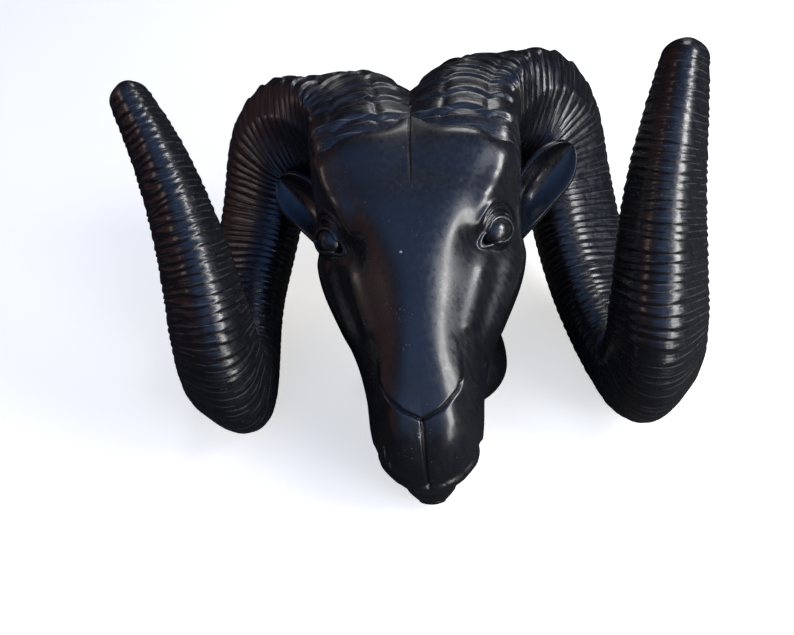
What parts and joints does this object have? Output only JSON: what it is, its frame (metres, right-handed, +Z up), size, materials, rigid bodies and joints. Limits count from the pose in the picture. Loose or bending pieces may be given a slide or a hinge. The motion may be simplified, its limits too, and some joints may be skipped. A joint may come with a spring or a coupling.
{
  "type": "ram head sculpture",
  "caption": "Ram head sculpture in glossy black, with large ribbed curling horns, cupped ears and a short neck cut flat so that it stands.",
  "frame": {"origin": "centre of the bounding box's bottom face, on the surface that the neck stands on", "axes": "+Z up, the face looks toward -Y, +X is the viewer's right when facing it"},
  "size_m": [0.4658, 0.3638, 0.311],
  "materials": {
    "lacquer": "glossy black lacquer over a cast resin body, lightly dusty and worn on the rib crests"
  },
  "bodies": {
    "root": {"ram_head": "lacquer"}
  },
  "joints": []
}
